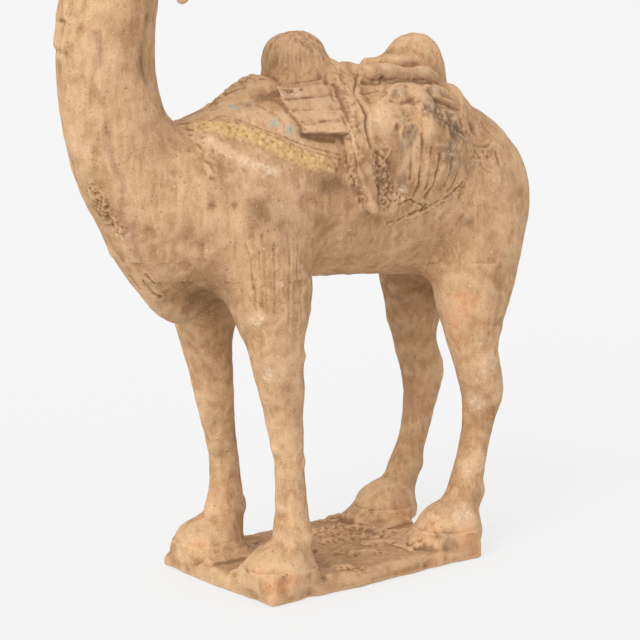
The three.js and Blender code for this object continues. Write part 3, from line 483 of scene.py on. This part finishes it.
for turn, number in ((list, 0), (mirrored, 50)):
    def pressed(place, radius, height, stretch=(1, 1, 1), ragged=0.25, flat=2):
        """A lump or dent on this side's bag."""
        lump(turn([place])[0], radius, height, stretch, ragged, int(abs(place[0])) + 100 + number, flat)

    pressed((2, -65, 346), 13, 2.2, (1, 1, 1.25))                       # the mask's cheek
    pressed((44, -70, 345), 12, 1.6, (1.3, 1, 0.8))                     # its upper lip
    pressed((102, -40, 362), 15, 5.5, (1.2, 1, 0.9), flat=3)            # the cloth's turned corner
    pressed((118, -42, 350), 14, 2.2)
    pressed((46, -55, 368), 9, 2.0, (1, 1, 1.2))                        # the bridge and bulb of its nose
    pressed((50, -60, 361), 9, 2.6, (1.1, 1, 0.9), 0.4)
    pressed((46, -66, 351), 9, 1.8, (1.1, 1, 0.8), 0.4)
    for x in (29, 66):                                                  # its eyes, in their sockets
        pressed((x, -55, 368), 9, -1.2, (1.1, 1, 0.8))
        pressed((x, -55, 368), 4.8, 3.2, ragged=0.25, flat=3)
    for place, radius, height in (((38, -58, 360), 4, -1.6), ((62, -58, 358), 4, -1.6), ((27, -70, 337), 6, -2.2),
                                  ((74, -67, 337), 6, -2.4), ((78, -62, 346), 5, 3.0), ((66, -64, 350), 4, 1.8),
                                  ((88, -61, 340), 4.5, 2.2), ((25, -65, 351), 6, -1.0), ((13, -69, 341), 3, -1.6),
                                  ((20, -69, 331), 4, 1.2), ((109, -48, 339), 5, -2.4), ((62, -41, 382), 6, 3.0),
                                  ((98, -52, 348), 6, 1.6), ((-3, -64, 323), 2.4, -3.6), ((30, -60, 355), 5, 1.2)):
        pressed(place, radius, height)
    for x in range(50, 84, 7):                                          # rows of small curls for its beard
        for z, shift in ((327, 0), (319, 3), (311, 1)):
            pressed((x + shift + 2 * math.sin(x * z), -68, z + 2 * math.cos(x + z)), 2.6, 0.9, ragged=0.5)
    for line, width, depth in (([(13, -58, 364), (25, -49, 371), (35, -47, 373), (43, -49, 371)], 2.0, -1.6),
                               ([(13, -62, 361), (25, -59, 360), (38, -57, 361)], 1.6, 1.4),
                               ([(56, -52, 370), (62, -49, 372), (70, -49, 373), (76, -53, 369)], 2.0, -1.5),
                               ([(-7, -50, 366), (5, -45, 367), (15, -44, 368)], 1.0, 0.9),
                               ([(0, -53, 359), (6, -56, 361), (22, -49, 367)], 1.0, 0.9), (cheek_edge, 1.3, 1.2),
                               ([(9, -68, 340), (10, -68, 345), (14, -69, 346), (18, -69, 342), (16, -69, 337)], 1.5, -1.5),
                               ([(17, -69, 334), (21, -69, 329), (23, -69, 324)], 1.6, -1.0),
                               ([(60, -64, 353), (70, -61, 354), (80, -60, 350), (88, -61, 344), (93, -60, 338)], 2.0, -1.8),
                               ([(66, -66, 344), (76, -63, 340), (86, -62, 335)], 1.8, 1.6),
                               ([(63, -55, 364), (76, -54, 361), (92, -50, 358), (113, -42, 351)], 1.8, -1.4),
                               ([(62, -57, 361), (76, -57, 358), (90, -53, 354)], 1.5, 1.3), (roll, 5.0, -1.8),
                               ([(x, y - 3, z - 6) for x, y, z in roll], 1.6, 2.0)):
        stroke(turn(line), width, depth, ragged=0.45, seed=90 + number + int(abs(line[0][0])))
    for line, depth in pleats:
        stroke(turn(line), 1.5, depth, lip=0.2, ragged=0.6, seed=95 + number + int(line[0][0]), uneven=0.8)
        stroke([(x + 6, y, z) for x, y, z in turn(line)], 3.2, -0.7 * depth, seed=96 + number + int(line[0][0]))
    for line in hems:
        stroke(turn(line), 1.2, 1.4, lip=0.5, ragged=0.9, seed=110 + number + int(line[0][0]), uneven=0.9)
        crumble(turn(line), 4, 1.0, 112 + number, 3)
    stroke([(x, y, z + 5) for x, y, z in turn(hems[0])], 4.5, -1.2, ragged=0.3, seed=113 + number)
    for place, radius, height in (((14, -36, 381), 6, 1.2), ((31, -40, 383), 7, 1.5), ((55, -40, 382), 5, 0.8),
                                  ((24, -20, 386), 6, 1.2), ((4, -31, 385), 4.5, 2.6), ((-10, -29, 385), 8, 1.8),
                                  ((52, -18, 393), 5, 1.4), ((64, -25, 390), 7, 1.4), ((58, 2, 396), 6, 2.6)):
        pressed(place, radius, height)
    crumble(turn([(1, -64, 319), (1, -61, 308), (7, -59, 299), (15, -58, 291), (23, -57, 286)]), 9, 2.0, 114 + number)
    crumble(turn([(44, -63, 354), (58, -64, 350), (74, -64, 344), (88, -61, 336)]), 10, 1.2, 116 + number, 5)
    crumble(turn([(22, -66, 349), (28, -69, 340)]), 6, 1.0, 118 + number, 4)
melt([((108, -37, 366), 9), ((104, 38, 364), 9), ((100, -34, 371), 8), ((100, 34, 371), 8)], 30)
N = facing()


# The humps. Two tall tufted humps stand up through the load, each a ball of clay combed downwards
# all round with a pointed stick.
for side in (-1, 1):
    lump((-1, side * 12, 394), 8, -3.5, seed=27)
    lump((-44, side * 10, 404), 11, 2.0, seed=28)
    lump((116, side * 6, 398), 13, -2.6, seed=31)
    lump((72, side * 12, 404), 10, 1.2, seed=32)
for middle, reach, high, combed in ((-26.5, 34, 383, 0.7), (92.5, 32, 386, 0.35)):
    i = np.flatnonzero((np.hypot(P[:, 0] - middle, P[:, 1]) < reach) & (P[:, 2] > high - 4))
    fade = np.clip((P[i, 2] - high) / 6, 0, 1)
    tufts = P[i] * (1, 1, 0.12)
    hair = np.abs(unevenness(tufts, 4.4, 24)) + 0.6 * np.abs(unevenness(tufts, 2.4, 25))
    P[i] += N[i] * (fade * (combed * (0.7 - 1.7 * hair) + 0.7 * unevenness(P[i], 10, 26)))[:, None]
crumble([(-64, 2, 378), (-75, 0, 374), (-89, 0, 367), (-98, 2, 360)], 9, 2.2, 29, 6)
lump((-76, 2, 375), 10, 2.0, seed=33)
stroke([(-60, -14, 376), (-70, -6, 378), (-76, 2, 376), (-86, 0, 370)], 2.0, 1.4, ragged=0.7, seed=30)


# The rump. Behind the bags the cloth's edge turns down over the croup, and the clay there is
# finely crazed; below it the flank is only wiped smooth, and the tail lies against one thigh.
for turn, number in ((list, 0), (mirrored, 50)):
    for line, width, depth in (([(96, -36, 373), (107, -38, 363), (119, -40, 350), (132, -48, 334), (143, -51, 324)],
                                1.2, 1.0), ([(104, -56, 327), (114, -54, 325), (122, -54, 326), (130, -51, 330)], 1.0, 1.0),
                               ([(107, -56, 322), (111, -56, 316), (112, -58, 309), (120, -60, 305)], 1.0, 0.9),
                               ([(119, -56, 318), (121, -60, 308)], 0.9, 0.7), ([(131, -56, 322), (131, -58, 310)], 0.9, 0.7),
                               ([(92, -58, 294), (84, -57, 281), (73, -54, 271)], 2.0, 0.6),
                               ([(104, -60, 296), (97, -60, 280), (88, -57, 266)], 2.4, 0.5)):
        stroke(turn(line), width, depth, ragged=0.8, seed=140 + number + int(line[0][0]), uneven=0.8)
    crumble(turn([(98, -58, 318), (112, -57, 316), (126, -56, 316)]), 7, 0.8, 146 + number, 4)


# The thinning. The carved clay is thinned to what one piece may hold; the fine forms keep most of it.
MOST_TRIANGLES = 196000

N = facing()
thinned = camel.modifiers.new("thinned", "DECIMATE")
thinned.ratio = min(1, MOST_TRIANGLES / (2 * len(clay.polygons)))
take_up(thinned)
N = facing()
clay.polygons.foreach_set("use_smooth", np.ones(len(clay.polygons), dtype=bool))


# The wear and paint. After firing the figure was washed with cream slip and painted with unfired
# colours; burial took most of them off and left brown soil in the hollows. Painted shade is laid into
# the hollows, under the chest, on the far legs and beside the boards, and a painted highlight on the
# swells and along the blanket's lower ridge. Each is kept as a layer over the skin, from 0 to 1, which
# the material below breaks up and colours.
def layer(name, amount):
    """Keep an amount at each point of the skin, for the material to read."""
    kept = clay.attributes.new(name, "FLOAT", "POINT")
    kept.data.foreach_set("value", np.clip(amount, -1, 1).astype(np.float32))


def along(places, width, power=2):
    """1 on a line over the skin, falling to 0 on both sides of it; both flanks of the figure alike."""
    line = on_skin(places)
    amount = np.zeros(count)
    i = within(line, 2.5 * width, both)
    amount[i] = np.exp(-(from_line(both[i], line) / width) ** power)
    return amount


def spots(list_of_spots):
    """Soft spots, each (place, radius, strength)."""
    total = np.zeros(count)
    for place, radius, strength in list_of_spots:
        i = within(np.array([place], float), 1.6 * radius)
        gap = np.linalg.norm(P[i] - np.array(place), axis=1) / radius
        total[i] = np.maximum(total[i], strength * np.clip(1.75 - 1.25 * gap, 0, 1))
    return total


both = np.stack([P[:, 0], -np.abs(P[:, 1]), P[:, 2]], 1)
near_flank = np.where(P[:, 1] < 0, 1.0, 0.55)

# how deep each point lies in a hollow (above 0) or stands on a swell (below 0): the material paints shade, with some
# soil, into the hollows and a highlight onto the swells
hollow = ((rubbed(P, 6, 9) - P) * N).sum(1) / 0.35
broad_hollow = ((rubbed(P, 60, 30) - P) * N).sum(1) / 2.2
layer("hollow", 0.75 * hollow + 0.35 * broad_hollow)

ochre = along(border_middle, 7.0, 4)
ochre *= np.clip((-34 - P[:, 0]) / 34 + 0.45, 0, 1)
layer("ochre", 0.85 * ochre * near_flank)

dots = np.zeros(count)
for place, radius, strength in (((-96, -17, 357), 4.2, 1.0), ((-83, -20, 359), 3.8, 0.6), ((-92, -31, 349), 4.0, 0.6),
                                ((-78, -40, 345), 4.2, 0.8), ((-69, -47, 341), 4.2, 0.7), ((-65, -48, 338), 3.6, 0.6),
                                ((-106, -26, 349), 3.4, 0.35)):
    gap = np.linalg.norm(both - on_skin([place])[0], axis=1)
    dots = np.maximum(dots, strength * np.clip(1.6 - gap / radius, 0, 1))
layer("blue", dots * near_flank)

cloth_field = along([(-106, -14, 357), (-92, -24, 353), (-78, -34, 349), (-60, -50, 336)], 13, 4)
boards_face = along([(-66, -42, 364), (-46, -48, 358), (-28, -50, 356)], 16, 6)
# cream slip in patches; along the blanket's lower ridge (border_low) it is a painted highlight as well as slip
slip_and_highlight = np.maximum.reduce([0.55 * cloth_field, 0.5 * boards_face,
                          0.9 * along(border_low, 6), 0.5 * along([(-117, -47, 318), (-92, -55, 308), (-64, -58, 300)], 10)])
slip_and_highlight = np.maximum(slip_and_highlight, spots([
    ((-105, -52, 312), 26, 0.45), ((-180, -32, 352), 5, 0.5), ((-219, -19, 363), 6, 0.6), ((-217, -13, 329), 7, 0.6),
    ((-192, -26, 284), 7, 0.6), ((-93, -64, 231), 7, 0.5), ((-106, -56, 209), 7, 0.8), ((-94, -54, 168), 7, 0.9),
    ((-90, -60, 120), 12, 0.5), ((-84, -60, 88), 12, 0.55), ((-80, -62, 60), 10, 0.5), ((0, -66, 346), 14, 0.6),
    ((28, -68, 320), 10, 0.5), ((27, -60, 295), 5, 1.0), ((118, -62, 152), 12, 0.8), ((111, -56, 122), 12, 0.8),
    ((128, -58, 176), 10, 0.6), ((104, -58, 70), 12, 0.7), ((92, -62, 34), 14, 0.75), ((-60, -58, 268), 16, 0.35),
    ((40, -62, 240), 24, 0.45), ((10, -64, 250), 18, 0.4), ((120, -50, 300), 24, 0.35), ((-83, -70, 25), 9, 0.6),
    ((-102, -60, 29), 7, 0.5), ((-86, 34, 176), 12, 0.4), ((118, 26, 108), 12, 0.4), ((116, 36, 150), 14, 0.4)])) 
layer("slip_and_highlight", slip_and_highlight)

# brown soil in patches; the first six, under the chest and over the far legs, are broad painted shade on sides turned
# from the lamp
soil_and_shade = spots([
    ((-118, 0, 232), 42, 0.9), ((-100, 30, 250), 40, 0.7), ((-80, 40, 190), 34, 0.35), ((98, 38, 205), 44, 0.7),
    ((112, 38, 150), 36, 0.6), ((124, 40, 100), 30, 0.45), ((-24, -60, 306), 16, 0.9), ((4, -62, 308), 17, 0.8),
    ((-44, -58, 306), 14, 0.7), ((-8, -67, 318), 12, 0.8), ((-6, -58, 286), 14, 0.5), ((58, -62, 352), 17, 0.75),
    ((76, -62, 344), 16, 0.75), ((-98, -60, 282), 17, 0.75), ((-92, -62, 262), 14, 0.5), ((-200, -12, 286), 13, 0.8),
    ((-150, -42, 270), 12, 0.5), ((-136, -44, 300), 18, 0.3), ((-30, -40, 376), 20, 0.5), ((-72, -36, 360), 8, 0.5),
    ((92, -56, 205), 26, 0.35), ((118, -60, 226), 22, 0.5), ((100, -56, 268), 26, 0.4), ((64, -60, 262), 22, 0.35),
    ((-4, -58, 262), 20, 0.4), ((-96, -56, 172), 10, 0.6), ((-84, -58, 150), 12, 0.6), ((-80, 38, 119), 7, 0.9),
    ((-75, 36, 95), 7, 0.9), ((114, -60, 140), 18, 0.5), ((120, -58, 110), 14, 0.5), ((104, -58, 52), 12, 0.4),
    ((98, 20, 31), 11, 0.8), ((73, -64, 18), 10, 0.9), ((-75, -68, 34), 10, 0.6), ((-26.5, 0, 402), 32, 0.5)])
# painted shade in the recess along the boards' slanted front ends
soil_and_shade = np.maximum(soil_and_shade, 0.5 * along([(-73, -33, 364), (-67, -45, 353), (-55, -50, 334)], 5, 4))
flat_top = np.clip(1 - np.abs(P[:, 2] - PLINTH_TOP) / 2.5, 0, 1) * np.clip(N[:, 2] * 2 - 0.8, 0, 1)
soil_and_shade = np.maximum(soil_and_shade, 0.5 * flat_top)
soil_and_shade = np.maximum(soil_and_shade, 0.42 * np.clip((PLINTH_TOP - 0.5 - P[:, 2]) / 2, 0, 1))
layer("soil_and_shade", soil_and_shade)

grey = spots([((28, -54, 368), 6, 0.9), ((66, -54, 369), 6, 0.9), ((52, -60, 354), 14, 0.7), ((77, -66, 338), 10, 0.9),
              ((66, -66, 350), 12, 0.6), ((28, -70, 337), 8, 0.7), ((14, -69, 336), 6, 0.6), ((67, -68, 322), 10, 0.9),
              ((75, -66, 312), 10, 0.7), ((20, -69, 331), 8, 0.7), ((25, -65, 305), 7, 0.6), ((88, -60, 328), 9, 0.5),
              ((58, -42, 381), 16, 0.55), ((30, -42, 382), 16, 0.5), ((60, -24, 391), 12, 0.4)])
layer("grey", grey)

rust = spots([((90, -51, 193), 11, 0.9), ((95, -58, 203), 12, 0.8), ((94, -49, 175), 10, 0.7), ((108, -60, 190), 12, 0.5),
              ((-87, -73, 17), 9, 0.9), ((-100, -66, 16), 8, 0.8), ((-105, -56, 26), 8, 0.6), ((-102, -71, 6), 8, 0.9),
              ((88, -70, 19), 9, 1.0), ((66, -50, 22), 10, 0.6), ((96, -66, 26), 8, 0.6), ((95, 16, 24), 12, 0.6),
              ((-98, 30, 24), 12, 0.5), ((-84, 56, 24), 12, 0.35), ((-97, 32, 205), 8, 0.7), ((-92, 28, 190), 8, 0.5),
              ((60, -72, 5), 16, 0.55), ((20, -72, 4), 18, 0.5), ((-30, -72, 6), 20, 0.4), ((95, -72, 8), 16, 0.6),
              ((-104, 10, 5), 16, 0.35), ((79, -62, 345), 5, 0.6), ((-96, -60, 252), 9, 0.35), ((-84, -60, 240), 10, 0.3),
              ((-60, -60, 230), 8, 0.3), ((116, -64, 236), 14, 0.35), ((-40, -50, 384), 12, 0.3)])
layer("rust", rust)

mauve = np.maximum.reduce([
    0.55 * along([(-177, -28, 417), (-179, -29, 401), (-182, -30, 391), (-179, -29, 374)], 4.5),
    0.6 * along([(-214, -23, 406), (-212, -25, 392), (-217, -22, 374), (-211, -26, 361), (-209, -26, 343),
                 (-205, -26, 323), (-198, -28, 308), (-197, -27, 301)], 5),
    0.6 * along([(-192, -24, 285), (-185, -18, 266), (-178, -15, 250)], 7),
    spots([((-104, -57, 285), 12, 0.6), ((-128, -46, 300), 14, 0.35), ((-162, -34, 330), 12, 0.4),
           ((-60, -52, 352), 12, 0.25), ((-26, -24, 398), 14, 0.5)])]) * near_flank
layer("mauve", mauve)


# The fired clay's finish: unglazed buff earthenware, low-fired, scraped and wiped by hand, then
# buried. It is dry and matt, mottled by the fire and by soil, and grainy where the slip has gone;
# painted shade darkens its hollows and shaded places, and a painted highlight lightens its swells.
def scale_of(size):
    """A noise scale that gives patches of the given size in mm."""
    return 1 / (size * MM)


earthenware = bpy.data.materials.new("buff_earthenware_unglazed")
earthenware.use_nodes = True
ware = earthenware.node_tree
ware.nodes.clear()
place = add_node(ware, "TexCoord").outputs["Object"]
COLOUR = {"data_type": "RGBA", "clamp_factor": True}


def coat(under, colour, cover):
    """Lay a colour over what is under it, as thickly as cover says."""
    settings = dict(COLOUR)
    settings[7] = linear(colour)
    links = {0: cover}
    if isinstance(under, str):
        settings[6] = linear(under)
    else:
        links[6] = under
    return add_node(ware, "Mix", settings, links).outputs[2]


def cover_of(source, low, high, most=1.0):
    """How thickly a coat lies where a pattern rises from low to high."""
    return add_node(ware, "MapRange", {"From Min": low, "From Max": high, "To Max": most}, {"Value": source}).outputs[0]


def broken(name, pattern, amount=0.9):
    """A painted layer, with the pattern eating into it."""
    painted = add_node(ware, "Attribute", {"attribute_name": name}).outputs["Fac"]
    eaten = add_node(ware, "Math", {"operation": "MULTIPLY_ADD", 1: amount, 2: -0.5 * amount}, {0: pattern}).outputs[0]
    return add_node(ware, "Math", {"operation": "ADD"}, {0: painted, 1: eaten}).outputs[0]


def noise(size, detail=4, rough=0.6, twist=0.0, along=place):
    return add_node(ware, "TexNoise", {"Scale": scale_of(size), "Detail": detail, "Roughness": rough, "Distortion": twist},
                    {"Vector": along}).outputs["Fac"]


wiped = add_node(ware, "Mapping", {"Scale": (1, 1, 0.16)}, {"Vector": place}).outputs[0]
fire_patches = noise(46, 4, 0.55, 0.6)
stains = noise(17, 6, 0.62, 0.9)
blots = noise(6, 5, 0.62, 0.5)
wipe_marks = noise(5, 5, 0.62, 0.3, wiped)
hairs = noise(1.7, 3, 0.6, 0, wiped)
specks = noise(2.6, 2, 0.5)
# the clay's grain is sand of 0.2 to 0.5 mm, drawn at 1.4 mm so that it still shows
grain = noise(1.4, 3, 0.7)
pits = add_node(ware, "TexVoronoi", {"Scale": scale_of(7), "Randomness": 1}, {"Vector": place}).outputs["Distance"]

tone = coat("#a57e59", "#c19a73", cover_of(fire_patches, 0.38, 0.62))
tone = coat(tone, "#c9a37e", cover_of(stains, 0.50, 0.66, 0.7))
tone = coat(tone, "#96704c", cover_of(stains, 0.46, 0.33, 0.6))
tone = coat(tone, "#98724e", cover_of(wipe_marks, 0.48, 0.34, 0.5))
tone = coat(tone, "#cda985", cover_of(wipe_marks, 0.55, 0.68, 0.4))
tone = coat(tone, "#8a6544", cover_of(blots, 0.42, 0.30, 0.45))
tone = coat(tone, "#cfac88", cover_of(blots, 0.58, 0.72, 0.4))
tone = coat(tone, "#8f6b4a", cover_of(hairs, 0.42, 0.26, 0.3))

tone = coat(tone, "#cbab8b", cover_of(broken("slip_and_highlight", blots, 1.3), 0.30, 0.95, 0.85))
tone = coat(tone, "#ddc6a8", cover_of(broken("slip_and_highlight", blots, 2.2), 0.80, 1.15, 0.75))
tone = coat(tone, "#8f6e5c", cover_of(broken("mauve", stains, 1.6), 0.25, 0.95, 0.6))
tone = coat(tone, "#805d3e", cover_of(broken("soil_and_shade", stains, 1.5), 0.25, 1.0, 0.7))
tone = coat(tone, "#c5845c", cover_of(broken("rust", blots, 1.5), 0.35, 1.0, 0.7))
tone = coat(tone, "#c8a365", cover_of(broken("ochre", blots, 1.9), 0.25, 0.95, 0.7))
tone = coat(tone, "#86a099", cover_of(broken("blue", blots, 1.3), 0.45, 1.0, 0.65))
tone = coat(tone, "#6b6158", cover_of(broken("grey", blots, 1.6), 0.35, 1.05, 0.75))

# painted shade, with some soil, darkens the hollows, and a painted highlight lightens the swells
hollow_shade_soil_and_highlight = add_node(ware, "Attribute", {"attribute_name": "hollow"}).outputs["Fac"]
tone = coat(tone, "#6a4a30", cover_of(hollow_shade_soil_and_highlight, 0.15, 1.0, 0.62))
tone = coat(tone, "#d6b48e", cover_of(hollow_shade_soil_and_highlight, -0.15, -0.9, 0.4))
tone = coat(tone, "#6a4a2f", cover_of(pits, 0.16, 0.05, 0.45))
tone = coat(tone, "#e2cbb0", cover_of(specks, 0.70, 0.76, 0.6))
tone = coat(tone, "#7d5c3e", cover_of(grain, 0.46, 0.26, 0.5))
tone = coat(tone, "#d9bb98", cover_of(grain, 0.56, 0.76, 0.4))

rise = add_node(ware, "Math", {"operation": "MULTIPLY_ADD", 1: 0.6}, {0: blots, 2: grain}).outputs[0]
sunk = add_node(ware, "Math", {"operation": "MULTIPLY_ADD", 1: -0.5}, {0: cover_of(pits, 0.26, 0.05), 2: rise}).outputs[0]
relief = add_node(ware, "Bump", {"Strength": 1, "Distance": 0.55 * MM}, {"Height": sunk}).outputs[0]
fired = add_node(ware, "BsdfPrincipled", {"Roughness": 0.93, "Specular IOR Level": 0.22, "IOR": 1.5},
                 {"Base Color": tone, "Normal": relief})
add_node(ware, "OutputMaterial", {}, {"Surface": fired.outputs[0]})
clay.materials.clear()
clay.materials.append(earthenware)

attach(camel, "root")
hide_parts("pottery_camel")
